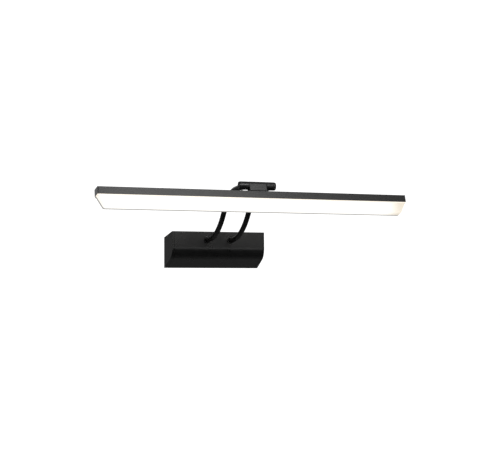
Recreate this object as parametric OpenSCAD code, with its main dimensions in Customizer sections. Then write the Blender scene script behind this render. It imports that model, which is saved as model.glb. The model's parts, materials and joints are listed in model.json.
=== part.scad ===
// Wall picture light: a long bar-shaped lamp head on a tilting hinge, held by
// two bent tubes that stand out of a small wall base.
// Origin: centre of the base's back face. +Z is up and -Y points into the room.

/* [Base] */
// Length of the wall base along the wall, over its end caps
base_length = 140; // [125:1:180]
// How far the base stands out from the wall
base_depth = 42; // [38:1:55]
// Height of the base where it meets the wall
base_back_height = 44; // [42:1:56]
// Height of the front top edge above the bottom edge at the wall
base_front_height = 50; // [48:1:62]
// Radius of the rounded lower front
nose_radius = 18; // [14:1:20]
// Height of the flat front, above the rounded lower front
front_flat_height = 22; // [20:1:26]
// How much shorter the front is than the back, at each end
base_end_mitre = 2.6; // [0:0.1:4]
// Wall thickness of the base cover
cover_wall = 1.4; // [1:0.1:2]
// Thickness of a base end cap at the front
base_cap_thickness = 3; // [2:0.5:5]
// How far an end cap's rim reaches into the cover
cap_rim_depth = 4; // [3:0.5:6]
// Wall of an end cap's rim
cap_rim_wall = 1.6; // [1:0.1:2.5]

/* [Wall plate] */
// Sheet thickness of the wall plate
plate_thickness = 1.5; // [1:0.1:2.5]
// Distance from each end of the base to its wall screw
wall_screw_inset = 18; // [17:1:30]
// Width of a wall screw slot
wall_slot_width = 4.5; // [4:0.1:5.5]
// End-to-end length of a wall screw slot
wall_slot_length = 12; // [8:1:14]
// Depth of the flange that the cover is screwed to
flange_depth = 12; // [11:1:16]
// Distance from each end of the base to its cover screw
cover_screw_inset = 20; // [16:1:40]
// Diameter of the supply cable that the grommet takes
cable_diameter = 7; // [6:0.5:8]

/* [Arms] */
// Outer diameter of an arm tube
arm_diameter = 7; // [6:0.5:9]
// Wall thickness of an arm tube
arm_wall = 1; // [0.8:0.1:1.5]
// Distance from the front top edge down to the middle of the arms' outlets
arm_outlet_drop = 12; // [11:0.5:13]
// Straight stretch of an arm in front of the base
arm_straight = 14; // [8:1:40]
// Angle that an arm climbs at, at its steepest
arm_climb = 44; // [30:1:55]
// Radius of the lower bend, on the tube's centre line
lower_bend_radius = 102; // [60:1:140]
// Straight stretch between the two bends
arm_middle_straight = 6; // [3:1:60]
// Radius of the upper bend, on the tube's centre line
upper_bend_radius = 78; // [50:1:120]
// Straight stretch of an arm behind the hinge
arm_hinge_straight = 29; // [18:1:60]

/* [Hinge] */
// Outer diameter of the hinge barrel
barrel_diameter = 10.5; // [10:0.5:14]
// Width of the middle block, which is fixed to the lamp head
block_width = 22; // [20:1:30]
// Width of each outer knuckle
knuckle_width = 11; // [11:0.5:16]
// Outer diameter of the pivot tube
pivot_diameter = 6; // [5.5:0.1:6.5]
// Height of the hinge axis above the lamp head's top
hinge_rise = 8.8; // [8:0.1:12]
// Tilt of the lamp head at rest: the light leans out from the wall
rest_tilt = 14; // [0:1:30]

/* [Lamp head] */
// Length of the lamp head
head_length = 400; // [300:1:600]
// Depth of the lamp head, front to back
head_depth = 13; // [12:0.5:16]
// Height of the metal housing
housing_height = 9.4; // [9:0.1:12]
// Height of the diffuser below the housing
diffuser_height = 15.2; // [10:0.1:18]
// How far each end of the diffuser slopes in at the bottom
diffuser_end_slope = 8.5; // [4:0.5:12]
// How much shorter the front edge is than the back edge, at each end
end_mitre = 1.6; // [0:0.1:3]
// Side wall of the housing
housing_wall = 1.3; // [1:0.1:1.6]
// Wall of the diffuser
diffuser_wall = 1.4; // [1:0.1:1.8]
// Thickness of a lamp head end cap at the front edge
head_cap_thickness = 1.4; // [1:0.1:3]
// Distance from each end of the lamp head to the end of the light board
board_end_gap = 10; // [6:1:20]
// Number of light chips on the board
chip_count = 36; // [12:1:60]

/* [Hidden] */
$fn = 64;

// Clearances: a fit that turns, a part that drops into place, a seated face
turning_gap = 0.05;
seat_gap = 0.15;
loose_gap = 0.4;
// A cut runs this far past the faces that it opens
past = 1;

// Base outline, as seen from the side: u is the distance from the wall, v the height
base_bottom = -base_back_height / 2;
nose_u = base_depth - nose_radius;
nose_height = base_front_height - front_flat_height;
top_slope = atan((base_front_height - base_back_height) / base_depth);
nose_reach = norm([nose_u, nose_height]);
under_slope = atan2(nose_height, nose_u) - asin(nose_radius / nose_reach);
function top_v(u, inset) = base_back_height + u * tan(top_slope) - inset / cos(top_slope);
function under_v(u, inset) = u * tan(under_slope) + inset / cos(under_slope);
cover_length = base_length - 2 * (base_cap_thickness + base_end_mitre);
wall_screw_x = base_length / 2 - wall_screw_inset;
cover_screw_x = base_length / 2 - cover_screw_inset;

// Arm path, in the same side view but from the origin's height
arm_v = base_bottom + base_front_height - arm_outlet_drop;
lower_bend_u = base_depth + arm_straight;
middle_u = lower_bend_u + lower_bend_radius * sin(arm_climb);
middle_v = arm_v + lower_bend_radius * (1 - cos(arm_climb));
upper_bend_u = middle_u + arm_middle_straight * cos(arm_climb) + upper_bend_radius * sin(arm_climb);
hinge_v = middle_v + arm_middle_straight * sin(arm_climb) + upper_bend_radius * (1 - cos(arm_climb));
arm_bore = arm_diameter - 2 * arm_wall;
arm_bend_steps = 10;
arm_sides = 24;

// A station of a swept tube: its centre and the two unit vectors that span its ring.
// This one lies in the side view at distance u from the wall and height v, climbing at angle a.
function side_station(x, u, v, a) = [[x, -u, v], [1, 0, 0], [0, sin(a), cos(a)]];
// An arm's stations from its base end at distance start to its hinge end at distance finish
function arm_stations(x, start, finish) = concat(
    [side_station(x, start, arm_v, 0)],
    [for (i = [0:arm_bend_steps]) let (a = arm_climb * i / arm_bend_steps)
        side_station(x, lower_bend_u + lower_bend_radius * sin(a), arm_v + lower_bend_radius * (1 - cos(a)), a)],
    [for (i = [arm_bend_steps:-1:0]) let (a = arm_climb * i / arm_bend_steps)
        side_station(x, upper_bend_u - upper_bend_radius * sin(a), hinge_v - upper_bend_radius * (1 - cos(a)), a)],
    [side_station(x, finish, hinge_v, 0)]
);

// Screws: thread radius, head radius and head height
m3_r = 1.5;
m3_head_r = 2.75;
m3_head_h = 1.8;
m4_r = 2;
m4_head_r = 3.4;
m4_head_h = 2.2;
thread_gap = 0.05;

// Hinge: the arms meet the middle of the knuckles
washer_thickness = 0.4;
washer_space = washer_thickness + 2 * turning_gap;
knuckle_start = block_width / 2 + washer_space;
arm_x = knuckle_start + knuckle_width / 2;
barrel_r = barrel_diameter / 2;
pivot_r = pivot_diameter / 2;
socket_r = arm_diameter / 2 + 1.25;
socket_length = barrel_r + 5;
socket_floor = 4.5;
hinge_u = upper_bend_u + arm_hinge_straight + socket_floor;
pivot_grip = 3.6;
pivot_half = knuckle_start + pivot_grip;
insert_wall = 0.6;
pivot_bore_r = m3_r + insert_wall;
shoulder = 1.5;

// Lead inside the left arm and down into the lamp head; it leaves the driver's top behind its front edge
lead_r = 1.2;
lead_inset = 3;
lead_elbow = 2.2;
lead_end_gap = 1;
// Where the lamp lead starts, left of the middle of the pivot tube
lead_turn = 4;

// Contents of the base
driver_size = [62, 20, 22];
driver_x = -13;
driver_foot = 12;
driver_ear = 5.6;
driver_ear_thickness = 2.5;
driver_head_r = 2.4;
driver_ear_reach = driver_head_r + loose_gap;
terminal_size = [18, 14, 15];
terminal_x = 30;
terminal_foot = 21.5;
terminal_pitch = 5.5;
grommet_x = 30;
grommet_height = 12.5;
grommet_hole_r = cable_diameter / 2 + 1.5;
earth_x = 8;
earth_height = 7;
backing_size = [56, 2, 14];
nut_width = arm_diameter + 4;
nut_thickness = 3.5;
ferrule_r = arm_diameter / 2 + 1.6;
ferrule_length = 3;
arm_stub = base_depth - cover_wall - backing_size[1] - nut_thickness - 2;

// Lamp head: lengths along X, and its section measured from the housing's top face downwards
housing_length = head_length - 2 * (head_cap_thickness + end_mitre);
board_length = head_length - 2 * board_end_gap;
head_top = -hinge_rise;
top_wall = 1.5;
rail = 0.8;
rail_proud = 0.8;
rail_top = 4.2;
board_thickness = 1;
board_gap = 0.1;
channel_width = head_depth - 2 * housing_wall;
board_drop = rail_top + rail + board_gap;
chip_size = [3.5, 2.8, 0.7];
rim_height = 1.5;
rim_step = 0.5;
tongue_height = housing_height - board_drop - board_thickness - board_gap - rail - 0.3;
tongue_wall = 1;
block_screw_x = 7.5;
block_screw_grip = hinge_rise - pivot_r - 1;

// Side view frame: x runs out from the wall, y runs up, z runs to the left
module side_view(x = 0)
    translate([x, 0, 0]) rotate([90, 0, -90]) children();

// Frame on the sloping top of the base, at the wall edge, y running up the slope into the room
module on_top(x = 0, along = 0)
    translate([x, 0, base_bottom + base_back_height])
        rotate([-top_slope, 0, 0]) translate([0, -along, 0]) children();

// Frame on the wall plate's front face: z runs out from the wall, y up
module on_plate(x, height)
    translate([x, -plate_thickness, base_bottom + height]) rotate([90, 0, 0]) children();

// Frame of the lamp head, with its origin on the hinge axis
module in_head()
    translate([0, -hinge_u, hinge_v]) rotate([-rest_tilt, 0, 0]) children();

// Frame of the hinge axis before the tilt
module at_hinge(x = 0)
    translate([x, -hinge_u, hinge_v]) children();

// A round bar along X from x0 to x1
module bar_x(r, x0, x1)
    translate([x0, 0, 0]) rotate([0, 90, 0]) cylinder(h = x1 - x0, r = r);

// Base outline, moved in by inset; back carries it past the wall face
module base_outline(inset = 0, back = 0) {
    r = nose_radius - inset;
    translate([0, base_bottom]) {
        polygon([
            [-back, under_v(-back, inset)],
            [nose_u + r * sin(under_slope), nose_height - r * cos(under_slope)],
            [nose_u, nose_height],
            [base_depth - inset, nose_height],
            [base_depth - inset, top_v(base_depth - inset, inset)],
            [-back, top_v(-back, inset)]
        ]);
        translate([nose_u, nose_height]) circle(r = r);
    }
}

// Pan head screw standing on z = 0, its shank running down, with a six-sided socket
module pan_screw(thread_r, head_r, head_h, shank) {
    difference() {
        union() {
            cylinder(h = head_h, r = head_r);
            translate([0, 0, -shank]) cylinder(h = shank + head_h / 2, r = thread_r);
        }
        translate([0, 0, head_h * 0.4]) cylinder(h = head_h, r = thread_r * 0.75, $fn = 6);
    }
}

// Slot along X with round ends, cut through along Z
module slot(length, width, depth) {
    for (side = [-1, 1])
        translate([side * (length - width) / 2, 0, 0]) cylinder(h = depth, r = width / 2, center = true);
    cube([length - width, width, depth], center = true);
}

// ---- Base ----

// Bent steel plate against the wall, with a flange along the cover's sloping top
module wall_plate() {
    length = cover_length - 2 * (cap_rim_depth + loose_gap);
    low = under_v(plate_thickness, cover_wall) + loose_gap;
    high = top_v(0, cover_wall) - loose_gap;
    hole_cut = 3 * plate_thickness;
    color("silver") difference() {
        union() {
            translate([-length / 2, -plate_thickness, base_bottom + low])
                cube([length, plate_thickness, high - low]);
            on_top() translate([loose_gap - length / 2, -flange_depth, -cover_wall - seat_gap - plate_thickness])
                cube([length - 2 * loose_gap, flange_depth - loose_gap, plate_thickness]);
        }
        for (side = [-1, 1]) {
            translate([side * wall_screw_x, 0, 0]) rotate([90, 0, 0])
                slot(wall_slot_length, wall_slot_width, hole_cut);
            on_top(side * cover_screw_x, flange_depth * 0.6)
                translate([0, 0, -cover_wall - seat_gap - plate_thickness - past])
                    cylinder(h = plate_thickness + 2 * past, r = m3_r + thread_gap);
        }
        on_plate(grommet_x, grommet_height) cylinder(h = hole_cut, r = grommet_hole_r, center = true);
        on_plate(earth_x, earth_height) cylinder(h = hole_cut, r = m4_r + thread_gap, center = true);
        for (side = [-1, 1])
            driver_screw_place(side) cylinder(h = hole_cut, r = m3_r + thread_gap, center = true);
        for (side = [-1, 1])
            translate([side * (length / 2 - 3), 0, base_bottom + low + 3]) rotate([90, 0, 0])
                cylinder(h = hole_cut, r = 1.2, center = true);
    }
}

// Folded or extruded shell with the rounded lower front, open at the back and ends
module base_cover() {
    color([0.08, 0.08, 0.085]) difference() {
        side_view() linear_extrude(cover_length, center = true) base_outline();
        side_view() linear_extrude(cover_length + 2 * past, center = true) base_outline(cover_wall, past);
        for (side = [-1, 1]) {
            side_view(side * arm_x) translate([base_depth - cover_wall - past, arm_v, 0]) rotate([0, 90, 0])
                cylinder(h = cover_wall + 2 * past, r = arm_diameter / 2 + seat_gap);
            on_top(side * cover_screw_x, flange_depth * 0.6)
                translate([0, 0, -cover_wall - past]) cylinder(h = cover_wall + 2 * past, r = m3_r + seat_gap);
        }
    }
}

// End plate with a rim that plugs into the cover; its outer face leans in towards the front
module base_cap(side) {
    rim_inset = cover_wall + turning_gap;
    inner_x = cover_length / 2;
    outer_x = base_length / 2;
    lean = base_end_mitre / base_depth;
    front = base_depth + past;
    color([0.09, 0.09, 0.095]) mirror([side < 0 ? 1 : 0, 0, 0]) {
        intersection() {
            side_view(outer_x + past) linear_extrude(outer_x + past - inner_x) base_outline();
            linear_extrude(4 * base_front_height, center = true)
                polygon([[0, past], [outer_x + lean * past, past], [outer_x - lean * front, -front], [0, -front]]);
        }
        difference() {
            side_view(inner_x) linear_extrude(cap_rim_depth) base_outline(rim_inset);
            side_view(inner_x + past) linear_extrude(cap_rim_depth + 2 * past)
                base_outline(rim_inset + cap_rim_wall, past);
        }
    }
}

module base_cap_left() base_cap(-1);
module base_cap_right() base_cap(1);

// Two screws through the cover's top into the plate's flange
module cover_screws() {
    color("dimgray") for (side = [-1, 1])
        on_top(side * cover_screw_x, flange_depth * 0.6)
            pan_screw(m3_r, m3_head_r, m3_head_h, 6);
}

module driver_screw_place(side)
    on_plate(driver_x + side * (driver_size[0] - driver_ear) / 2, driver_foot - driver_ear_reach) children();

// Closed plastic case of the power supply, screwed to the plate by two ears
module driver() {
    color("whitesmoke") difference() {
        union() {
            on_plate(driver_x, driver_foot + driver_size[2] / 2) translate([0, 0, driver_size[1] / 2])
                cube([driver_size[0], driver_size[2], driver_size[1]], center = true);
            for (side = [-1, 1])
                driver_screw_place(side) translate([-driver_ear / 2, -driver_ear / 2, 0])
                    cube([driver_ear, driver_ear / 2 + driver_ear_reach + past, driver_ear_thickness]);
        }
        for (side = [-1, 1])
            driver_screw_place(side)
                cylinder(h = 3 * driver_ear_thickness, r = m3_r + seat_gap, center = true);
    }
}

module driver_screws() {
    color("silver") for (side = [-1, 1])
        driver_screw_place(side) translate([0, 0, driver_ear_thickness])
            pan_screw(m3_r, driver_head_r, 1.4, driver_ear_thickness + plate_thickness - 0.3);
}

// Where terminal number n sits along the block
function terminal_place(n) = terminal_x + (n - 1) * terminal_pitch;

// Three-way block for the supply wires: wire holes from below, clamp screws from the front
module terminal_block() {
    color("ivory") difference() {
        on_plate(terminal_x, terminal_foot + terminal_size[2] / 2) translate([0, 0, terminal_size[1] / 2])
            cube([terminal_size[0], terminal_size[2], terminal_size[1]], center = true);
        for (n = [0:2]) {
            on_plate(terminal_place(n), terminal_foot - past) translate([0, 0, 5]) rotate([-90, 0, 0])
                cylinder(h = 7 + past, r = 1.5);
            on_plate(terminal_place(n), terminal_foot + 5) translate([0, 0, 6.6])
                cylinder(h = terminal_size[1], r = 1.7);
        }
    }
}

module terminal_screws() {
    color("gold") for (n = [0:2])
        on_plate(terminal_place(n), terminal_foot + 5) translate([0, 0, 6.7]) difference() {
            cylinder(h = 5, r = 1.6);
            translate([0, 0, 5.2]) cube([4, 0.6, 1.4], center = true);
        }
}

// Earth screw in the plate, with its ring tag
module earth_screw() {
    tag = 0.8;
    color("gold") on_plate(earth_x, earth_height) {
        translate([0, 0, tag]) pan_screw(m4_r, m4_head_r, m4_head_h, tag + plate_thickness - 0.3);
        difference() {
            cylinder(h = tag, r = m4_head_r);
            translate([0, 0, -past]) cylinder(h = tag + 2 * past, r = m4_r / 2);
        }
    }
}

// Rubber ring that lines the plate's cable hole
module cable_grommet() {
    lip = 1.2;
    groove_r = grommet_hole_r - turning_gap;
    color([0.12, 0.12, 0.12]) on_plate(grommet_x, grommet_height) rotate_extrude() difference() {
        union() {
            translate([0, -plate_thickness]) square([groove_r, plate_thickness + lip]);
            translate([0, turning_gap]) square([grommet_hole_r + 1.2, lip - turning_gap]);
        }
        translate([-past, -2 * plate_thickness]) square([past + cable_diameter / 2, 4 * plate_thickness]);
    }
}

// Two short insulated wires from the terminal block to the driver
module mains_links() {
    from = driver_x + driver_size[0] / 2;
    to = terminal_x - terminal_size[0] / 2;
    color("saddlebrown") for (height = [26, 31])
        translate([0, -plate_thickness - 8, base_bottom + height]) bar_x(1.1, from, to);
}

// Steel strip behind the cover's front that spreads the arms' load
module backing_plate() {
    front = base_depth - cover_wall - turning_gap;
    color("silver") difference() {
        translate([-backing_size[0] / 2, -front, arm_v - backing_size[2] / 2])
            cube(backing_size);
        for (side = [-1, 1])
            side_view(side * arm_x) translate([front - 2 * backing_size[1], arm_v, 0]) rotate([0, 90, 0])
                cylinder(h = 3 * backing_size[1], r = arm_diameter / 2 + seat_gap);
    }
}

// Thin hex nut on the arm's threaded end, inside the base
module arm_nut(side) {
    front = base_depth - cover_wall - backing_size[1] - 2 * turning_gap;
    color("gray") side_view(side * arm_x) translate([front - nut_thickness, arm_v, 0]) rotate([0, 90, 0])
        difference() {
            cylinder(h = nut_thickness, r = nut_width / sqrt(3), $fn = 6);
            translate([0, 0, -past]) cylinder(h = nut_thickness + 2 * past, r = arm_diameter / 2 + thread_gap);
        }
}

module arm_nut_left() arm_nut(-1);
module arm_nut_right() arm_nut(1);

// Turned collar that covers the arm's hole in the front of the base
module arm_ferrule(side) {
    chamfer = 0.6;
    color([0.06, 0.06, 0.065]) side_view(side * arm_x) translate([base_depth, arm_v, 0]) rotate([0, 90, 0])
        difference() {
            union() {
                cylinder(h = ferrule_length - chamfer, r = ferrule_r);
                translate([0, 0, ferrule_length - chamfer])
                    cylinder(h = chamfer, r1 = ferrule_r, r2 = ferrule_r - chamfer);
            }
            translate([0, 0, -past]) cylinder(h = ferrule_length + 2 * past, r = arm_diameter / 2 + thread_gap);
        }
}

module arm_ferrule_left() arm_ferrule(-1);
module arm_ferrule_right() arm_ferrule(1);

// ---- Arms ----

// Points of the rings of radius r at every station, with the given number of sides
function ring_points(stations, r, sides) = [
    for (at = stations, n = [0:sides - 1])
        at[0] + r * cos(360 * n / sides) * at[1] + r * sin(360 * n / sides) * at[2]
];

// Triangles between neighbouring rings, numbered from first; turn is 1 for an outer skin, -1 for a bore
function skin_faces(first, rings, sides, turn) = [
    for (ring = [0:rings - 2], n = [0:sides - 1], half = [0, 1])
        let (
            a = first + ring * sides + n,
            b = first + ring * sides + (n + 1) % sides,
            face = half == 0 ? [a, b, b + sides] : [a, b + sides, a + sides]
        ) turn > 0 ? face : [face[2], face[1], face[0]]
];

// Triangles that join the outer ring to the bore's ring at one end
function end_faces(outer, inner, sides, turn) = [
    for (n = [0:sides - 1], half = [0, 1])
        let (
            next = (n + 1) % sides,
            face = half == 0 ? [outer + n, inner + n, inner + next] : [outer + n, inner + next, outer + next]
        ) turn > 0 ? face : [face[2], face[1], face[0]]
];

// Round bar swept along stations
module swept_bar(stations, r, sides) {
    rings = len(stations);
    last = (rings - 1) * sides;
    polyhedron(
        points = ring_points(stations, r, sides),
        faces = concat(
            skin_faces(0, rings, sides, 1),
            [[for (n = [sides - 1:-1:0]) n], [for (n = [0:sides - 1]) last + n]]
        )
    );
}

// Tube swept along stations
module swept_tube(stations, outer_r, inner_r, sides) {
    rings = len(stations);
    count = rings * sides;
    last = count - sides;
    polyhedron(
        points = concat(ring_points(stations, outer_r, sides), ring_points(stations, inner_r, sides)),
        faces = concat(
            skin_faces(0, rings, sides, 1),
            skin_faces(count, rings, sides, -1),
            end_faces(0, count, sides, 1),
            end_faces(last, count + last, sides, -1)
        )
    );
}

// Bent steel tube, threaded at the base and fixed in the knuckle's socket
module arm(side) {
    color([0.05, 0.05, 0.055])
        swept_tube(
            arm_stations(side * arm_x, arm_stub, hinge_u - socket_floor),
            arm_diameter / 2, arm_bore / 2, arm_sides
        );
}

module arm_left() arm(-1);
module arm_right() arm(1);

// Two-core lead from the driver's top, through the left arm, round a corner into the hinge barrel
module arm_lead() {
    bend_steps = 4;
    driver_top = base_bottom + driver_foot + driver_size[2];
    drop_bend = arm_v - driver_top;
    drop_u = plate_thickness + driver_size[1] - lead_inset + drop_bend;
    stations = concat(
        [for (i = [bend_steps:-1:1]) let (a = 90 * i / bend_steps)
            side_station(-arm_x, drop_u - drop_bend * sin(a), arm_v - drop_bend * (1 - cos(a)), a)],
        arm_stations(-arm_x, drop_u, hinge_u - lead_elbow),
        [for (i = [1:bend_steps]) let (a = 90 * i / bend_steps) [
            [-arm_x + lead_elbow * (1 - cos(a)), -hinge_u + lead_elbow * (1 - sin(a)), hinge_v],
            [cos(a), sin(a), 0],
            [0, 0, 1]
        ]],
        [[[-lead_turn - lead_end_gap, -hinge_u, hinge_v], [0, 1, 0], [0, 0, 1]]]
    );
    color("dimgray") swept_bar(stations, lead_r, 8);
}

// ---- Hinge ----

// Outer knuckle: a barrel with a socket for the arm at its back
module knuckle(side) {
    bore_r = pivot_r + turning_gap;
    color([0.07, 0.07, 0.075]) at_hinge() mirror([side < 0 ? 1 : 0, 0, 0]) difference() {
        union() {
            bar_x(barrel_r, knuckle_start, knuckle_start + knuckle_width);
            translate([arm_x, 0, 0]) rotate([-90, 0, 0]) cylinder(h = socket_length, r = socket_r);
        }
        if (side < 0)
            bar_x(bore_r, knuckle_start - past, knuckle_start + knuckle_width + past);
        else {
            bar_x(bore_r, knuckle_start - past, pivot_half + turning_gap);
            bar_x(m3_r + seat_gap, knuckle_start - past, knuckle_start + knuckle_width);
            bar_x(bore_r, pivot_half + shoulder, knuckle_start + knuckle_width + past);
        }
        translate([arm_x, socket_floor, 0]) rotate([-90, 0, 0])
            cylinder(h = socket_length, r = arm_diameter / 2 + thread_gap);
        if (side < 0)
            translate([arm_x, 0, 0]) rotate([-90, 0, 0]) cylinder(h = socket_length, r = arm_bore / 2);
    }
}

module knuckle_left() knuckle(-1);
module knuckle_right() knuckle(1);

// Disc that closes the outer end of a knuckle
module hinge_plug(side) {
    disc = 1.2;
    outer = knuckle_start + knuckle_width;
    color([0.1, 0.1, 0.105]) at_hinge() mirror([side < 0 ? 1 : 0, 0, 0]) {
        bar_x(barrel_r - 0.3, outer, outer + disc);
        bar_x(pivot_r, outer - 1.8, outer);
    }
}

module hinge_plug_left() hinge_plug(-1);
module hinge_plug_right() hinge_plug(1);

// Two flat washers that the block turns against
module friction_washers() {
    color([0.15, 0.15, 0.15]) at_hinge() for (side = [-1, 1])
        mirror([side < 0 ? 1 : 0, 0, 0]) difference() {
            bar_x(barrel_r - 0.4, knuckle_start - washer_thickness - turning_gap, knuckle_start - turning_gap);
            bar_x(pivot_r + turning_gap, 0, knuckle_start);
        }
}

// Cupped washer that keeps the hinge tight
module spring_washer() {
    height = 0.8;
    color("silver") at_hinge(pivot_half + shoulder) rotate([0, 90, 0]) difference() {
        cylinder(h = height, r1 = 2.8, r2 = 2.2);
        translate([0, 0, -past]) cylinder(h = height + 2 * past, r = m3_r + seat_gap);
    }
}

// Screw that pulls the pivot tube towards the right knuckle
module tension_screw() {
    seat = pivot_half + shoulder + 0.8 + turning_gap;
    color("gray") in_head() translate([seat, 0, 0]) rotate([0, 90, 0])
        pan_screw(m3_r, 2.6, 2, seat - pivot_half + 5);
}

// Threaded plug pressed into the right end of the pivot tube
module tension_insert() {
    color("gold") in_head() difference() {
        bar_x(pivot_bore_r - 0.02, pivot_half - 6.5, pivot_half - 0.5);
        bar_x(m3_r + thread_gap, pivot_half - 7.5, pivot_half + past);
    }
}

// Hollow pivot that is fixed in the block and turns in both knuckles
module pivot_tube() {
    color("silver") in_head() difference() {
        bar_x(pivot_r, -pivot_half, pivot_half);
        bar_x(pivot_bore_r, -pivot_half - past, pivot_half + past);
        translate([0, 0, -2 * pivot_r]) cylinder(h = 2 * pivot_r, r = lead_r + 0.5);
    }
}

// Middle block of the hinge: a barrel on a square foot that stands on the housing
module hinge_block() {
    color([0.13, 0.13, 0.135]) in_head() difference() {
        union() {
            bar_x(barrel_r, -block_width / 2, block_width / 2);
            translate([-block_width / 2, -barrel_r, head_top]) cube([block_width, 2 * barrel_r, hinge_rise]);
        }
        bar_x(pivot_r + 0.02, -block_width, block_width);
        translate([0, 0, head_top - past]) cylinder(h = hinge_rise + past, r = lead_r + 0.5);
        for (side = [-1, 1])
            translate([side * block_screw_x, 0, head_top - past])
                cylinder(h = block_screw_grip + past, r = m3_r + thread_gap);
    }
}

// Two screws from inside the housing up into the block
module block_screws() {
    color("silver") in_head() for (side = [-1, 1])
        translate([side * block_screw_x, 0, head_top - top_wall]) rotate([180, 0, 0])
            pan_screw(m3_r, m3_head_r, m3_head_h, top_wall + block_screw_grip - 0.4);
}

// ---- Lamp head ----

// Plan view of the lamp head: the front edge is shorter than the back edge
module head_plan(inset = 0) {
    front = head_length / 2 - end_mitre - inset;
    back = head_length / 2 - inset;
    half = head_depth / 2;
    polygon([[-front, -half], [front, -half], [back, half], [-back, half]]);
}

// Aluminium channel, open below, with two pairs of rails that hold the light board
module housing() {
    color([0.3, 0.3, 0.31]) in_head() translate([0, 0, head_top]) difference() {
        translate([-housing_length / 2, -head_depth / 2, -housing_height])
            cube([housing_length, head_depth, housing_height]);
        difference() {
            translate([-housing_length / 2 - past, -channel_width / 2, -housing_height - past])
                cube([housing_length + 2 * past, channel_width, housing_height - top_wall + past]);
            for (side = [-1, 1], drop = [rail_top, board_drop + board_thickness + board_gap])
                translate([0, side * channel_width / 2, -drop - rail / 2])
                    cube([housing_length + 4 * past, 2 * rail_proud, rail], center = true);
        }
        translate([0, 0, -top_wall - past]) cylinder(h = top_wall + 2 * past, r = lead_r + 0.8);
        for (side = [-1, 1])
            translate([side * block_screw_x, 0, -top_wall - past])
                cylinder(h = top_wall + 2 * past, r = m3_r + seat_gap);
    }
}

// End plate of the housing, with a tongue that fits above the light board
module head_cap(side) {
    inner = housing_length / 2;
    tongue = [5, channel_width - 2 * seat_gap, rail_top - rail / 2 - top_wall - 2 * seat_gap];
    color([0.33, 0.33, 0.34]) in_head() translate([0, 0, head_top]) mirror([side < 0 ? 1 : 0, 0, 0]) {
        intersection() {
            translate([0, 0, -housing_height]) linear_extrude(housing_height) head_plan();
            translate([inner, -head_depth, -2 * housing_height])
                cube([head_length, 2 * head_depth, 3 * housing_height]);
        }
        translate([inner - tongue[0], -tongue[1] / 2, -top_wall - seat_gap - tongue[2]]) cube(tongue);
    }
}

module head_cap_left() head_cap(-1);
module head_cap_right() head_cap(1);

// Front view of the diffuser's body: a trough whose ends slope in
module diffuser_front(inset = 0) {
    top = head_length / 2 - inset;
    bottom = top - diffuser_end_slope;
    low = -diffuser_height + inset;
    polygon([[-top, 0], [top, 0], [bottom, low], [-bottom, low]]);
}

// Opal trough: a rim flush with the housing, a body one step in, and a tongue inside the channel
module diffuser() {
    body_depth = head_depth - 2 * rim_step;
    inner_depth = body_depth - 2 * diffuser_wall;
    tongue_length = housing_length - 2 * loose_gap;
    tongue_outer = channel_width - 2 * seat_gap;
    tongue_inner = tongue_outer - 2 * tongue_wall;
    color("white") in_head() translate([0, 0, head_top - housing_height]) difference() {
        union() {
            intersection() {
                rotate([90, 0, 0]) linear_extrude(head_depth, center = true) diffuser_front();
                translate([0, 0, -rim_height]) linear_extrude(rim_height) head_plan();
            }
            intersection() {
                rotate([90, 0, 0]) linear_extrude(body_depth, center = true) diffuser_front(rim_step);
                translate([0, 0, -2 * diffuser_height]) linear_extrude(2 * diffuser_height) head_plan(rim_step);
            }
            translate([-tongue_length / 2, -tongue_outer / 2, -rim_height / 2])
                cube([tongue_length, tongue_outer, tongue_height + rim_height / 2]);
        }
        intersection() {
            rotate([90, 0, 0]) linear_extrude(inner_depth, center = true)
                diffuser_front(rim_step + diffuser_wall);
            translate([0, 0, -2 * diffuser_height]) linear_extrude(2 * diffuser_height)
                head_plan(rim_step + diffuser_wall);
        }
        translate([-tongue_length / 2 - past, -tongue_inner / 2, -rim_height])
            cube([tongue_length + 2 * past, tongue_inner, 2 * tongue_height + rim_height]);
    }
}

// Narrow aluminium-backed circuit board that slides in between the rails
module light_board() {
    width = channel_width - 2 * board_gap;
    color("whitesmoke") in_head() translate([0, 0, head_top - board_drop])
        translate([-board_length / 2, -width / 2, -board_thickness])
            cube([board_length, width, board_thickness]);
}

// Light chips in one row on the board's underside
module light_chips() {
    pitch = (board_length - 12) / chip_count;
    color("khaki") in_head() translate([0, 0, head_top - board_drop - board_thickness - chip_size[2] / 2])
        for (n = [0:chip_count - 1])
            translate([(n - (chip_count - 1) / 2) * pitch, 0, 0]) cube(chip_size, center = true);
}

// Lead from the pivot tube down to the board, turning with the lamp head
module lamp_lead() {
    board_top = head_top - board_drop;
    color("dimgray") in_head() {
        bar_x(lead_r, -lead_turn, -lead_elbow);
        translate([-lead_elbow, 0, -lead_elbow]) rotate([90, 0, 0])
            rotate_extrude(angle = 90) translate([lead_elbow, 0]) circle(r = lead_r);
        translate([0, 0, board_top]) cylinder(h = -board_top - lead_elbow, r = lead_r);
    }
}

wall_plate();
base_cover();
base_cap_left();
base_cap_right();
cover_screws();
driver();
driver_screws();
terminal_block();
terminal_screws();
earth_screw();
cable_grommet();
mains_links();
backing_plate();
arm_nut_left();
arm_nut_right();
arm_ferrule_left();
arm_ferrule_right();
arm_left();
arm_right();
arm_lead();
knuckle_left();
knuckle_right();
hinge_plug_left();
hinge_plug_right();
friction_washers();
spring_washer();
tension_screw();
tension_insert();
pivot_tube();
hinge_block();
block_screws();
housing();
head_cap_left();
head_cap_right();
diffuser();
light_board();
light_chips();
lamp_lead();
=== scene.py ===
import json
import math

import bmesh
import bpy
from mathutils import Matrix, Vector


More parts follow.
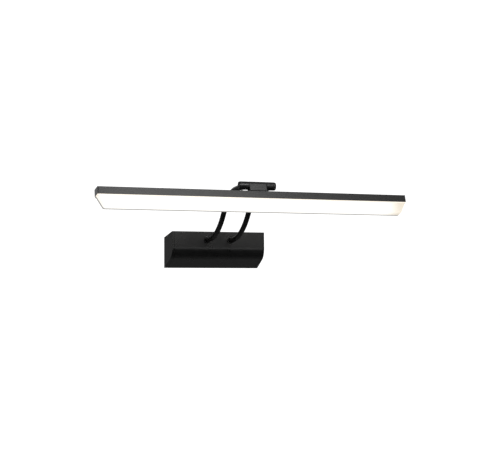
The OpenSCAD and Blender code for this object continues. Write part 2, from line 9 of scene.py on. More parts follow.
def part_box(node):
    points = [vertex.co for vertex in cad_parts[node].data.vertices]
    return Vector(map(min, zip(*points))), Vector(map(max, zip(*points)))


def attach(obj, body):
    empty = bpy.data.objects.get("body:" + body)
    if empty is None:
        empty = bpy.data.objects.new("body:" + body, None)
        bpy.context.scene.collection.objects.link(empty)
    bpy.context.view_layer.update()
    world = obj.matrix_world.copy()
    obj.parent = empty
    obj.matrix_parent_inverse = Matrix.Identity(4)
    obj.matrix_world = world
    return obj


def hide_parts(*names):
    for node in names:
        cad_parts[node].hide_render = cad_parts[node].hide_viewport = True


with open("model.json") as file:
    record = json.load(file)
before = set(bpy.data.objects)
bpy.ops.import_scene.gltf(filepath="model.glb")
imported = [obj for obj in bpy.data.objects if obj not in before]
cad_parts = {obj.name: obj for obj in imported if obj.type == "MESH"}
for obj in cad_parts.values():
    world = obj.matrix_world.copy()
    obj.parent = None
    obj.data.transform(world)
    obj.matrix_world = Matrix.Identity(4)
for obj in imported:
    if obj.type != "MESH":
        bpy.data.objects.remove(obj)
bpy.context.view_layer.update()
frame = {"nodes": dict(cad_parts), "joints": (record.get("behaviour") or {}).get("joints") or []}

# ---- Base cover ----
# One extruded aluminium shell with a rounded lower front, open at the back and at both ends.
# It is powder coated satin black, hangs over the wall plate and is held by two screws from above.


def new_piece(name, mesh):
    """Puts a bmesh into the scene as an object in the row frame."""
    mesh.normal_update()
    data = bpy.data.meshes.new(name)
    mesh.to_mesh(data)
    mesh.free()
    piece = bpy.data.objects.new(name, data)
    bpy.context.scene.collection.objects.link(piece)
    return piece


def prism(name, loops, steps):
    """Closed bar through one (y, z) loop at each of the given x steps, with a flat face at both ends."""
    mesh = bmesh.new()
    rings = [[mesh.verts.new((x, y, z)) for y, z in loop] for x, loop in zip(steps, loops)]
    for near, far in zip(rings, rings[1:]):
        for n in range(len(near)):
            m = (n + 1) % len(near)
            mesh.faces.new((near[n], near[m], far[m], far[n]))
    mesh.faces.new(rings[0][::-1])
    mesh.faces.new(rings[-1])
    bmesh.ops.recalc_face_normals(mesh, faces=mesh.faces)
    return new_piece(name, mesh)


def turned(name, profile, sides=64):
    """Round part about Z through (radius, z) points; a profile off the axis closes into a ring."""
    mesh = bmesh.new()
    rings = []
    for radius, z in profile:
        if radius == 0:
            rings.append([mesh.verts.new((0, 0, z))])
        else:
            turns = [math.tau * n / sides for n in range(sides)]
            rings.append([mesh.verts.new((radius * math.cos(t), radius * math.sin(t), z)) for t in turns])
    pairs = list(zip(rings, rings[1:]))
    if profile[0][0] and profile[-1][0]:
        pairs.append((rings[-1], rings[0]))
    for low, high in pairs:
        for n in range(sides):
            m = (n + 1) % sides
            corners = [low[n % len(low)], low[m % len(low)], high[m % len(high)], high[n % len(high)]]
            mesh.faces.new(list(dict.fromkeys(corners)))
    bmesh.ops.recalc_face_normals(mesh, faces=mesh.faces)
    return new_piece(name, mesh)


def corner(centre, radius, start, finish, steps=6):
    """Points of an arc between two angles in degrees, measured from the first axis towards the second."""
    angles = [math.radians(start + (finish - start) * n / steps) for n in range(steps + 1)]
    return [(centre[0] + radius * math.cos(a), centre[1] + radius * math.sin(a)) for a in angles]


def laid(place, degrees, axis):
    """Turns by some degrees about an axis, then moves to a place."""
    return Matrix.Translation(place) @ Matrix.Rotation(math.radians(degrees), 4, axis)


def settle(piece):
    """Applies the piece's modifiers to its mesh."""
    graph = bpy.context.evaluated_depsgraph_get()
    mesh = bpy.data.meshes.new_from_object(piece.evaluated_get(graph))
    piece.modifiers.clear()
    piece.data = mesh


def combine(piece, others, operation):
    """Cuts the other pieces out of this one, or joins them to it as one solid."""
    for other in others:
        tool = piece.modifiers.new(operation, "BOOLEAN")
        tool.operation = operation
        tool.solver = "EXACT"
        tool.object = other
        settle(piece)
        bpy.data.objects.remove(other)


def soften(piece, width, angle=40, segments=2):
    """Breaks the sharp edges by the given width and shades the faces between them smoothly."""
    if width:
        edges = piece.modifiers.new("edges", "BEVEL")
        edges.width = width
        edges.segments = segments
        edges.limit_method = "ANGLE"
        edges.angle_limit = math.radians(angle)
        settle(piece)
    for face in piece.data.polygons:
        face.use_smooth = True
    piece.data.set_sharp_from_angle(angle=math.radians(50))
    piece.modifiers.new("shading", "WEIGHTED_NORMAL").keep_sharp = True
    settle(piece)


class Wire:
    """An output of a node. Arithmetic on it adds Math nodes to the same tree."""

    def __init__(self, nodes, socket):
        self.nodes, self.socket = nodes, socket

    def maths(self, operation, left, right):
        return self.nodes.node("ShaderNodeMath", {"operation": operation}, {0: left, 1: right})

    def __add__(self, other):
        return self.maths("ADD", self, other)

    def __sub__(self, other):
        return self.maths("SUBTRACT", self, other)

    def __rsub__(self, other):
        return self.maths("SUBTRACT", other, self)

    def __mul__(self, other):
        return self.maths("MULTIPLY", self, other)

    __radd__ = __add__
    __rmul__ = __mul__


class Nodes:
    """A node tree whose nodes are added by type, settings and sockets."""

    def __init__(self, tree):
        self.tree = tree

    def node(self, kind, settings=None, sockets=None, output=0):
        """Adds a node, with its settings before its sockets, and gives one of its outputs."""
        node = self.tree.nodes.new(kind)
        for key, value in (settings or {}).items():
            setattr(node, key, value)
        for key, value in (sockets or {}).items():
            self.join(value, node.inputs[key])
        return Wire(self, node.outputs[output])

    def join(self, value, socket):
        """Links a wire to the socket, or sets a plain value on it."""
        if isinstance(value, Wire):
            self.tree.links.new(value.socket, socket)
        else:
            socket.default_value = value


class Finish(Nodes):
    """A material round one Principled shader; place is the point on the piece, in metres."""

    def __init__(self, name, fixed=None):
        self.material = bpy.data.materials.new(name)
        self.material.use_nodes = True
        super().__init__(self.material.node_tree)
        self.shader = self.tree.nodes["Principled BSDF"]
        self.place = self.node("ShaderNodeTexCoord", output="Object")
        self.drive(fixed or {})

    def drive(self, sockets):
        """Feeds the shader's sockets by name."""
        for key, value in sockets.items():
            self.join(value, self.shader.inputs[key])

    def dress(self, piece):
        """Makes this the piece's only material."""
        piece.data.materials.clear()
        piece.data.materials.append(self.material)


def stretched(finish, scale):
    """The point on the piece, with each axis multiplied by its own scale."""
    return finish.node("ShaderNodeVectorMath", {"operation": "MULTIPLY"}, {0: finish.place, 1: scale})


def noise(finish, scale, detail=2, at=None):
    """Soft noise round 0.5; a larger scale gives a finer grain."""
    sockets = {"Vector": at or finish.place, "Scale": scale, "Detail": detail, "Roughness": 0.55}
    return finish.node("ShaderNodeTexNoise", {}, sockets)


def between(finish, factor, first, second):
    """A colour that goes from first to second as factor goes from 0 to 1."""
    return finish.node("ShaderNodeMix", {"data_type": "RGBA"}, {0: factor, 6: first, 7: second}, output=2)


def ramp(finish, factor, low, high):
    """0 below low, 1 above high, and a smooth rise in between."""
    settings = {"interpolation_type": "SMOOTHSTEP"}
    return finish.node("ShaderNodeMapRange", settings, {0: factor, 1: low, 2: high, 3: 0.0, 4: 1.0})


def relief(finish, height, distance, strength=1.0):
    """Bump from a height of 0 to 1 that stands for the given distance in metres."""
    return finish.node("ShaderNodeBump", {}, {"Height": height, "Distance": distance, "Strength": strength})


def grey(level, tint=0.0):
    """A neutral colour, a little bluer for a positive tint."""
    return (level * (1 - tint), level, level * (1 + tint), 1)


def hand_in(piece, body, slot, *nodes):
    """The piece rides on its body and stands for its CAD nodes; the slot is not used."""
    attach(piece, body)
    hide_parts(*nodes)


NOSE_RADIUS = 0.018
NOSE_STEPS = 32
FLAT_FRONT = 0.022
COVER_WALL = 0.0014
TOP_CORNER = 0.0011
INNER_CORNER = 0.0003
COVER_EDGE = 0.00022
ARM_HOLE_RADIUS = 0.00365
ARM_HOLE_INSIDE = 0.004
ARM_HOLE_LENGTH = 0.006

cover_low, cover_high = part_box("base_cover")
base_depth = -cover_low.y
base_bottom, front_top = cover_low.z, cover_high.z
nose = (base_depth - NOSE_RADIUS, front_top - FLAT_FRONT - base_bottom)
top_slope = math.atan((front_top + base_bottom) / base_depth)
under_slope = math.atan2(nose[1], nose[0]) - math.asin(NOSE_RADIUS / math.hypot(*nose))


def base_line(inset):
    """The base's outline in side view, moved in, from its lower to its upper edge at the wall."""
    inner = NOSE_RADIUS - inset
    front = base_depth - inset
    nose_start = math.degrees(under_slope) - 90
    nose_arc = corner((nose[0], nose[1] + base_bottom), inner, nose_start, 0, NOSE_STEPS)
    top_at_wall = -base_bottom - inset / math.cos(top_slope)
    bend = max(TOP_CORNER - inset, INNER_CORNER)
    top_at_front = top_at_wall + front * math.tan(top_slope)
    middle = (front - bend, top_at_front - bend * math.tan(top_slope) - bend / math.cos(top_slope))
    top_arc = corner(middle, bend, 0, 90 + math.degrees(top_slope))
    points = [(0, base_bottom + inset / math.cos(under_slope))] + nose_arc + top_arc + [(0, top_at_wall)]
    return [(-u, v) for u, v in points]


def rod(name, radius, start, end, sides=48):
    """Plain round bar about Z between two heights, used as a cutting tool."""
    return turned(name, [(0, start), (radius, start), (radius, end), (0, end)], sides)


def arm_outlet(node):
    """X, height and radius of an arm where it leaves the base."""
    low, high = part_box(node)
    radius = (high.x - low.x) / 2
    return (low.x + high.x) / 2, low.z + radius, radius


powder_coat = Finish("satin_black_powder_coat")
orange_peel = noise(powder_coat, 900, 3)
handling = noise(powder_coat, 45, 4)
dust = noise(powder_coat, 2600, 2)
specks = ramp(powder_coat, dust, 0.62, 0.75)
powder_coat.drive({
    "Base Color": between(powder_coat, handling * 0.7 + specks * 0.3, grey(0.0022), grey(0.0048, 0.02)),
    "Roughness": 0.235 + handling * 0.07 + orange_peel * 0.03,
    "Normal": relief(powder_coat, orange_peel, 0.00003, 0.5),
})

cover_loop = base_line(0) + base_line(COVER_WALL)[::-1]
cover = prism("cover", [cover_loop, cover_loop], [cover_low.x, cover_high.x])
holes = []
for arm_node in ("arm_left", "arm_right"):
    x, z, _ = arm_outlet(arm_node)
    hole = rod("arm_hole", ARM_HOLE_RADIUS, 0, ARM_HOLE_LENGTH)
    hole.matrix_world = laid((x, ARM_HOLE_INSIDE - base_depth, z), 90, "X")
    holes.append(hole)
combine(cover, holes, "DIFFERENCE")
soften(cover, COVER_EDGE)
powder_coat.dress(cover)
hand_in(cover, "base", "black_paint", "base_cover")

# ---- Base end caps ----
# Solid end plates, cast and coated like the cover. Each outer face leans in towards the front, and a
# rim behind it plugs into the cover's end, so only a fine seam shows.
CAP_RIM_GAP = 0.00145
CAP_RIM_WALL = 0.0016
CAP_RIM_DEPTH = 0.004
CAP_RIM_ROOT = 0.0005
CAP_MITRE = 0.0026
CAP_EDGE = 0.0004
TINY = 1e-6


def mirror(piece):
    """Makes a right-hand piece its left-hand twin."""
    piece.data.transform(Matrix.Scale(-1, 4, (1, 0, 0)))
    piece.data.flip_normals()


base_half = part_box("base_cap_right")[1].x
lean = CAP_MITRE / base_depth
for name in ("base_cap_left", "base_cap_right"):
    plate = prism(name + "_plate", [base_line(0)] * 2, [cover_high.x, base_half])
    for point in plate.data.vertices:
        if point.co.x > cover_high.x + TINY:
            point.co.x = base_half + lean * point.co.y
    soften(plate, CAP_EDGE, segments=3)
    rim_loop = base_line(CAP_RIM_GAP) + base_line(CAP_RIM_GAP + CAP_RIM_WALL)[::-1]
    rim = prism(name + "_rim", [rim_loop] * 2, [cover_high.x - CAP_RIM_DEPTH, cover_high.x + CAP_RIM_ROOT])
    combine(plate, [rim], "UNION")
    if name == "base_cap_left":
        mirror(plate)
    soften(plate, 0)
    powder_coat.dress(plate)
    hand_in(plate, "base", "black_paint", name)

# ---- Cover screws ----
# Two blackened M3 button head screws with six-sided sockets, through the cover's top into the plate.
SCREW_HEAD_RADIUS = 0.00275
SCREW_HEAD_HEIGHT = 0.0018
SCREW_THREAD_RADIUS = 0.0015
SCREW_SHANK = 0.006
SCREW_FROM_WALL = 0.0072

blackened = Finish("blackened_steel", {"Metallic": 1.0})
oxide = noise(blackened, 700, 3)
blackened.drive({
    "Base Color": between(blackened, oxide, grey(0.018, 0.05), grey(0.05, 0.03)),
    "Roughness": 0.3 + oxide * 0.15,
    "Normal": relief(blackened, oxide, 0.00001),
})


def button_screw(name, head, height, thread, shank):
    """Button head screw on z = 0 with its shank below and a six-sided socket in the head."""
    dome = corner((0, 0), 1, 8, 80, 8)
    profile = [(0, -shank), (thread * 0.8, -shank), (thread, -shank + thread * 0.3), (thread, 0)]
    profile += [(head * 0.97, 0)] + [(head * u, height * v) for u, v in dome] + [(0, height)]
    screw = turned(name, profile, 48)
    socket = rod("socket", thread * 0.78, height * 0.35, height * 2, 6)
    combine(screw, [socket], "DIFFERENCE")
    return screw


cover_screw_low, cover_screw_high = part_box("cover_screws")
screws = []
for x in (cover_screw_low.x + SCREW_HEAD_RADIUS, cover_screw_high.x - SCREW_HEAD_RADIUS):
    screw = button_screw("cover_screws_pair", SCREW_HEAD_RADIUS, SCREW_HEAD_HEIGHT, SCREW_THREAD_RADIUS,
                         SCREW_SHANK)
    on_top = Matrix.Translation((x, 0, -base_bottom)) @ Matrix.Rotation(-top_slope, 4, "X")
    screw.data.transform(on_top @ Matrix.Translation((0, -SCREW_FROM_WALL, 0)))
    screws.append(screw)
both_screws = screws[0]
combine(both_screws, screws[1:], "UNION")
soften(both_screws, 0)
blackened.dress(both_screws)
hand_in(both_screws, "base", "black_screw", "cover_screws")

# ---- Wall plate and backing plate ----
# Sheet steel, zinc plated and clear passivated, punched and folded. The plate is screwed to the wall
# through two slots; the backing plate spreads the arms' load behind the cover's front.
SHEET_EDGE = 0.00015

zinc = Finish("zinc_plate", {"Metallic": 1.0})
cells = {"Vector": zinc.place, "Scale": 160}
spangle = zinc.node("ShaderNodeTexVoronoi", {"feature": "F1"}, cells, output="Color")
spangle_level = zinc.node("ShaderNodeSeparateColor", {}, {0: spangle}, output=0)
rolling = noise(zinc, 1, 3, stretched(zinc, (60, 1800, 1800)))
bloom = noise(zinc, 38, 4)
tone = spangle_level * 0.35 + bloom * 0.65
zinc.drive({
    "Base Color": between(zinc, tone, (0.42, 0.44, 0.46, 1), (0.66, 0.66, 0.63, 1)),
    "Roughness": 0.24 + bloom * 0.16 + spangle_level * 0.06,
    "Normal": relief(zinc, rolling, 0.00001, 0.6),
})


def softened_copy(node, width):
    """The CAD node's own shape with its flat faces cleaned and its sharp edges broken."""
    mesh = bmesh.new()
    mesh.from_mesh(frame["nodes"][node].data)
    bmesh.ops.remove_doubles(mesh, verts=mesh.verts, dist=TINY)
    bmesh.ops.dissolve_limit(mesh, angle_limit=math.radians(1), verts=mesh.verts, edges=mesh.edges)
    piece = new_piece(node + "_made", mesh)
    soften(piece, width)
    return piece


for node in ("wall_plate", "backing_plate"):
    plate = softened_copy(node, SHEET_EDGE)
    zinc.dress(plate)
    hand_in(plate, "base", "zinc_steel", node)

# ---- Contents of the base ----
# A closed driver and a three-way terminal block in moulded white plastic, steel and brass screws, thin
# hex nuts on the arms' threads, a rubber grommet in the plate and short insulated wires.


def reuse(nodes, finish):
    """CAD nodes whose shape is right stay, and get the better material."""
    for node in nodes:
        finish.dress(frame["nodes"][node])


white_plastic = Finish("moulded_white_plastic")
spark_grain = noise(white_plastic, 2400, 2)
flow = noise(white_plastic, 60, 3)
white_plastic.drive({
    "Base Color": between(white_plastic, flow, (0.74, 0.74, 0.71, 1), (0.84, 0.84, 0.82, 1)),
    "Roughness": 0.42 + spark_grain * 0.12,
    "Normal": relief(white_plastic, spark_grain, 0.00002),
})
reuse(["driver", "terminal_block"], white_plastic)

bright_steel = Finish("bright_zinc_on_steel", {"Metallic": 1.0})
turning = noise(bright_steel, 1, 3, stretched(bright_steel, (2500, 300, 2500)))
wiped = noise(bright_steel, 150, 3)
bright_steel.drive({
    "Base Color": between(bright_steel, wiped, (0.52, 0.53, 0.55, 1), (0.68, 0.67, 0.64, 1)),
    "Roughness": 0.2 + wiped * 0.16,
    "Normal": relief(bright_steel, turning, 0.000008, 0.6),
})
reuse(["driver_screws", "arm_nut_left", "arm_nut_right"], bright_steel)

brass = Finish("plain_brass", {"Metallic": 1.0})
tarnish = noise(brass, 260, 4)
brass.drive({
    "Base Color": between(brass, tarnish, (0.62, 0.45, 0.17, 1), (0.80, 0.63, 0.30, 1)),
    "Roughness": 0.24 + tarnish * 0.16,
    "Normal": relief(brass, tarnish, 0.000008),
})
reuse(["terminal_screws", "earth_screw"], brass)

rubber = Finish("soft_black_rubber", {"Specular IOR Level": 0.4})
bloom_grain = noise(rubber, 1500, 3)
rubber.drive({
    "Base Color": between(rubber, bloom_grain, grey(0.012), grey(0.035)),
    "Roughness": 0.6 + bloom_grain * 0.2,
    "Normal": relief(rubber, bloom_grain, 0.00003),
})
reuse(["cable_grommet"], rubber)

wire_cover = Finish("grey_wire_cover")
drawn = noise(wire_cover, 1, 2, stretched(wire_cover, (1400, 120, 1400)))
wire_cover.drive({
    "Base Color": between(wire_cover, drawn, grey(0.16, 0.03), grey(0.24, 0.03)),
    "Roughness": 0.4 + drawn * 0.1,
    "Normal": relief(wire_cover, drawn, 0.00001),
})
reuse(["mains_links", "arm_lead"], wire_cover)

# ---- Arms ----
# Two 7 mm steel tubes, each bent in a long S in one plane and lacquered black. The lower end is
# threaded and nutted inside the base; the upper end is fixed in the knuckle's socket.
LOWER_BEND_RADIUS = 0.102
UPPER_BEND_RADIUS = 0.078
ARM_CLIMB = math.radians(44)
ARM_STRAIGHT = 0.014
BEND_TO_HINGE = 0.0335
ARM_WALL = 0.001
ARM_EDGE = 0.0002
BEND_STEPS = 44
TUBE_SIDES = 40

lacquer = Finish("black_tube_lacquer", {"Specular IOR Level": 0.28})
flow_out = noise(lacquer, 240, 3)
drawing = noise(lacquer, 1, 2, stretched(lacquer, (900, 90, 900)))
lacquer.drive({
    "Base Color": between(lacquer, flow_out, grey(0.0015), grey(0.0035, 0.02)),
    "Roughness": 0.24 + flow_out * 0.08,
    "Normal": relief(lacquer, drawing, 0.000012, 0.5),
})


def tube(name, x, path, outer, inner, sides):
    """Tube along (y, z, climb) stations in a plane of constant x, with a bore and flat ends."""
    mesh = bmesh.new()
    skins = []
    for radius in (outer, inner):
        rings = []
        for y, z, climb in path:
            ring = []
            for n in range(sides):
                turn = math.tau * n / sides
                lift = radius * math.sin(turn)
                spot = (x + radius * math.cos(turn), y + lift * math.sin(climb), z + lift * math.cos(climb))
                ring.append(mesh.verts.new(spot))
            rings.append(ring)
        skins.append(rings)
    outside, inside = skins
    joined = list(zip(outside, outside[1:])) + list(zip(inside, inside[1:]))
    joined += [(outside[0], inside[0]), (outside[-1], inside[-1])]
    for near, far in joined:
        for n in range(sides):
            m = (n + 1) % sides
            mesh.faces.new((near[n], near[m], far[m], far[n]))
    bmesh.ops.recalc_face_normals(mesh, faces=mesh.faces)
    return new_piece(name, mesh)


hinge = Vector(frame["joints"][0]["pos_m"])
climbs = [ARM_CLIMB * n / BEND_STEPS for n in range(BEND_STEPS + 1)]
for name in ("arm_left", "arm_right"):
    low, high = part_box(name)
    x, outlet, radius = arm_outlet(name)
    lower_start = base_depth + ARM_STRAIGHT
    lower = [(lower_start + LOWER_BEND_RADIUS * math.sin(a),
              outlet + LOWER_BEND_RADIUS * (1 - math.cos(a)), a) for a in climbs]
    upper_end = -hinge.y - BEND_TO_HINGE
    upper = [(upper_end - UPPER_BEND_RADIUS * math.sin(a),
              hinge.z - UPPER_BEND_RADIUS * (1 - math.cos(a)), a) for a in reversed(climbs)]
    route = [(-high.y, outlet, 0)] + lower + upper + [(-low.y, hinge.z, 0)]
    path = [(-u, v, a) for u, v, a in route]
    arm = tube(name + "_tube", x, path, radius, radius - ARM_WALL, TUBE_SIDES)
    soften(arm, ARM_EDGE)
    lacquer.dress(arm)
    hand_in(arm, "base", "arm_paint", name)

# ---- Arm ferrules ----
# Turned steel collars, lacquered black. Each slides over its tube against the front of the base and
# hides the hole there.
COLLAR_BORE = 0.00355
COLLAR_ROUND = 0.0008

black_metal = Finish("black_lacquered_turnings", {"Specular IOR Level": 0.45})
tool_marks = noise(black_metal, 1, 2, stretched(black_metal, (3200, 500, 3200)))
touch = noise(black_metal, 180, 3)
black_metal.drive({
    "Base Color": between(black_metal, touch, grey(0.0034), grey(0.0075, 0.02)),
    "Roughness": 0.15 + touch * 0.08,
    "Normal": relief(black_metal, tool_marks, 0.000006, 0.5),
})
for name in ("arm_ferrule_left", "arm_ferrule_right"):
    low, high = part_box(name)
    middle, radius, length = (low + high) / 2, (high.x - low.x) / 2, high.y - low.y
    shoulder = corner((radius - COLLAR_ROUND, length - COLLAR_ROUND), COLLAR_ROUND, 0, 90)
    mouth = [(COLLAR_BORE + 0.0007, length), (COLLAR_BORE + 0.0003, length - 0.00012),
             (COLLAR_BORE, length - 0.0005)]
    collar = turned(name + "_collar", [(COLLAR_BORE, 0), (radius, 0)] + shoulder + mouth)
    collar.data.transform(laid((middle.x, high.y, middle.z), 90, "X"))
    soften(collar, 0)
    black_metal.dress(collar)
    hand_in(collar, "base", "black_metal", name)

# ---- Hinge knuckles ----
# Turned barrels with a socket at the back for the arm, lacquered black. A domed disc closes each outer
# end; the pivot, its screw and its cupped washer sit inside, and thin washers take the friction.
BARREL_RADIUS = 0.00525
BARREL_SIDES = 96
KNUCKLE_BORE = 0.00305
EDGE_ROUND = 0.0006
SOCKET_RADIUS = 0.00475
SOCKET_BORE = 0.00355
SOCKET_ROOT = 0.001
SOCKET_FLOOR = 0.0045
DISC_THICKNESS = 0.0012
DISC_ROUND = 0.0005
DISC_CROWN = 0.00001
GROOVE_DEPTH = 0.0002
SPIGOT_RADIUS = 0.003

for name in ("knuckle_left", "knuckle_right"):
    low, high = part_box(name)
    width = high.x - low.x
    ends = corner((BARREL_RADIUS - EDGE_ROUND, EDGE_ROUND), EDGE_ROUND, -90, 0)
    ends += corner((BARREL_RADIUS - EDGE_ROUND, width - EDGE_ROUND), EDGE_ROUND, 0, 90)
    profile = [(KNUCKLE_BORE, 0)] + ends + [(KNUCKLE_BORE, width)]
    barrel = turned(name + "_barrel", profile, BARREL_SIDES)
    barrel.data.transform(laid((low.x, hinge.y, hinge.z), 90, "Y"))
    reach = high.y - hinge.y
    mouth = corner((SOCKET_RADIUS - EDGE_ROUND, reach - EDGE_ROUND), EDGE_ROUND, 0, 90)
    profile = [(0, SOCKET_ROOT), (SOCKET_RADIUS, SOCKET_ROOT)] + mouth
    profile += [(SOCKET_BORE, reach), (SOCKET_BORE, SOCKET_FLOOR), (0, SOCKET_FLOOR)]
    socket = turned("socket", profile, BARREL_SIDES)
    socket.data.transform(laid(((low.x + high.x) / 2, hinge.y, hinge.z), -90, "X"))
    combine(barrel, [socket], "UNION")
    soften(barrel, 0)
    black_metal.dress(barrel)
    hand_in(barrel, "base", "black_metal", name)

for side, name in ((-1, "hinge_plug_left"), (1, "hinge_plug_right")):
    low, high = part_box(name)
    radius = (high.z - low.z) / 2
    face, trench = DISC_THICKNESS, DISC_THICKNESS - GROOVE_DEPTH
    spigot = high.x - low.x - DISC_THICKNESS
    profile = [(0, -spigot), (SPIGOT_RADIUS, -spigot), (SPIGOT_RADIUS, 0), (radius, 0)]
    profile += corner((radius - DISC_ROUND, face - DISC_ROUND), DISC_ROUND, 0, 90)
    profile += [(radius * 0.62, face), (radius * 0.60, trench)]
    profile += [(radius * 0.56, trench), (radius * 0.54, face)]
    plug = turned(name + "_disc", profile + [(0, face + DISC_CROWN)])
    seat = high.x - DISC_THICKNESS if side > 0 else low.x + DISC_THICKNESS
    plug.data.transform(laid((seat, hinge.y, hinge.z), 90 * side, "Y"))
    soften(plug, 0)
    black_metal.dress(plug)
    hand_in(plug, "base", "black_metal", name)

reuse(["spring_washer", "tension_screw", "pivot_tube", "block_screws"], bright_steel)
reuse(["tension_insert"], brass)

nylon = Finish("black_nylon_washer")
nylon_grain = noise(nylon, 1800, 2)
nylon.drive({
    "Base Color": between(nylon, nylon_grain, grey(0.008), grey(0.02)),
    "Roughness": 0.42 + nylon_grain * 0.1,
    "Normal": relief(nylon, nylon_grain, 0.00001),
})
reuse(["friction_washers"], nylon)

# ---- Hinge block ----
# Die cast middle of the hinge in satin charcoal: a barrel on a square foot, fixed to the housing by two
# screws from inside. It is pressed on the pivot, so it turns with the lamp head.
REST_TILT = -14
HEAD_TOP = -0.0088
BLOCK_HALF = 0.011
BLOCK_EDGE = 0.0004
PIVOT_RADIUS = 0.003
BORE_REACH = 0.02
SEAM_SHADE = (0.0006, 0.0016)

in_head = laid(hinge, REST_TILT, "X")
head_up = in_head.to_3x3() @ Vector((0, 0, 1))
head_back = in_head.to_3x3() @ Vector((0, 1, 0))


def reach_along(finish, vector, direction):
    """How far a vector reaches in a direction."""
    return finish.node("ShaderNodeVectorMath", {"operation": "DOT_PRODUCT"}, {0: vector, 1: direction},
                       output="Value")


block_paint = Finish("charcoal_block_paint")
cast_grain = noise(block_paint, 2200, 2)
cast_haze = noise(block_paint, 30, 4)
wear = noise(block_paint, 500, 3)
foot = hinge.dot(head_up) + HEAD_TOP
above_foot = reach_along(block_paint, block_paint.place, head_up)
in_seam = 1 - ramp(block_paint, above_foot, foot + SEAM_SHADE[0], foot + SEAM_SHADE[1])
mixed = cast_haze * 0.7 + cast_grain * 0.3
block_paint.drive({
    "Base Color": between(block_paint, mixed, grey(0.003, 0.02), grey(0.005, 0.02)),
    "Roughness": 0.34 + wear * 0.08 + in_seam * 0.5,
    "Normal": relief(block_paint, cast_grain, 0.000012, 0.6),
})

over_the_pin = corner((0, 0), BARREL_RADIUS, 180, 0, 40)
block_loop = [(-BARREL_RADIUS, HEAD_TOP)] + over_the_pin + [(BARREL_RADIUS, HEAD_TOP)]
block = prism("hinge_block_casting", [block_loop] * 2, [-BLOCK_HALF, BLOCK_HALF])
bore = rod("bore", PIVOT_RADIUS, -BORE_REACH, BORE_REACH)
bore.data.transform(Matrix.Rotation(math.radians(90), 4, "Y"))
combine(block, [bore], "DIFFERENCE")
soften(block, BLOCK_EDGE, segments=3)
block.data.transform(in_head)
block_paint.dress(block)
hand_in(block, "lamp_head", "hinge_grey", "hinge_block")

# ---- Lamp head housing ----
# Extruded aluminium channel, open below, painted satin charcoal. Two pairs of rails inside hold the
# light board. Fine die lines run along it.
HEAD_HALF_DEPTH = 0.0065
HOUSING_HEIGHT = 0.0094
HOUSING_CORNER = 0.0005
HOUSING_EDGE = 0.00012
CHANNEL_HALF = 0.0052
CHANNEL_ROOF = 0.0015
BETWEEN_RAILS = 0.0044
RAIL_DROPS = ((0.0070, 0.0062), (0.0050, 0.0042))

housing_low, housing_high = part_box("housing")

housing_paint = Finish("charcoal_extrusion_paint")
die_lines = noise(housing_paint, 1, 3, stretched(housing_paint, (6, 2400, 2400)))
grain = noise(housing_paint, 2400, 2)
haze = noise(housing_paint, 18, 4)
housing_paint.drive({
    "Base Color": between(housing_paint, haze * 0.6 + die_lines * 0.4, grey(0.005), grey(0.009)),
    "Roughness": 0.33 + haze * 0.07 + grain * 0.05,
    "Normal": relief(housing_paint, die_lines * 0.6 + grain * 0.4, 0.000014, 0.6),
})
rail_steps = [(HOUSING_HEIGHT, CHANNEL_HALF)]
for under, over in RAIL_DROPS:
    rail_steps += [(under, CHANNEL_HALF), (under, BETWEEN_RAILS), (over, BETWEEN_RAILS), (over, CHANNEL_HALF)]
rail_steps += [(CHANNEL_ROOF, CHANNEL_HALF)]
inner_side = [(y, HEAD_TOP - drop) for drop, y in rail_steps]
outer_side = [(HEAD_HALF_DEPTH, HEAD_TOP - HOUSING_HEIGHT)]
outer_side += corner((HEAD_HALF_DEPTH - HOUSING_CORNER, HEAD_TOP - HOUSING_CORNER), HOUSING_CORNER, 0, 90, 4)
channel_loop = outer_side + [(-y, z) for y, z in outer_side[::-1]]
channel_loop += [(-y, z) for y, z in inner_side] + inner_side[::-1]
housing = prism("housing_channel", [channel_loop] * 2, [housing_low.x, housing_high.x])
soften(housing, HOUSING_EDGE, angle=60)
housing.data.transform(in_head)
housing_paint.dress(housing)
hand_in(housing, "lamp_head", "housing_grey", "housing")

# ---- Lamp head end caps ----
# Die cast plates in the same paint, with a tongue pushed into the channel above the board. Their flat
# outer ends carry painted light: a much lighter colour that stands in for a brighter lit end face. Each
# outer face is mitred, so the front edge is a little shorter than the back.
HEAD_HALF = 0.2
HEAD_MITRE = 0.0016
HEAD_CAP_EDGE = 0.0004
TONGUE_HALF = 0.00505
TONGUE_DROPS = (0.0037, 0.0017)
TONGUE_LENGTH = 0.005
TONGUE_ROOT = 0.0004


def x_of(finish, vector):
    """The part of a vector that runs along X."""
    return finish.node("ShaderNodeSeparateXYZ", {}, {0: vector})


cap_paint = Finish("charcoal_cap_paint")
cap_grain = noise(cap_paint, 2200, 2)
cap_haze = noise(cap_paint, 30, 4)
# Painted light: the flat outer ends, picked out by facing along X, are coloured far lighter than the rest of
# the cap, in place of a brighter lit end face; the stretched noise streaks that painted light.
across = x_of(cap_paint, cap_paint.node("ShaderNodeTexCoord", output="Normal"))
sideways = cap_paint.node("ShaderNodeMath", {"operation": "ABSOLUTE"}, {0: across})
painted_light_streaks = noise(cap_paint, 1, 3, stretched(cap_paint, (800, 4000, 800)))
painted_light_on_ends = ramp(cap_paint, sideways, 0.85, 0.97) * (0.9 + painted_light_streaks * 0.2)
cap_paint.drive({
    "Base Color": between(cap_paint, painted_light_on_ends, grey(0.006, 0.02), grey(0.075, 0.02)),
    "Roughness": 0.34 + cap_haze * 0.08 + cap_grain * 0.05,
    "Normal": relief(cap_paint, cap_grain, 0.000012, 0.6),
})


def oblong(half, low, high):
    """A (y, z) outline that reaches half to each side between two heights."""
    return [(half, low), (half, high), (-half, high), (-half, low)]


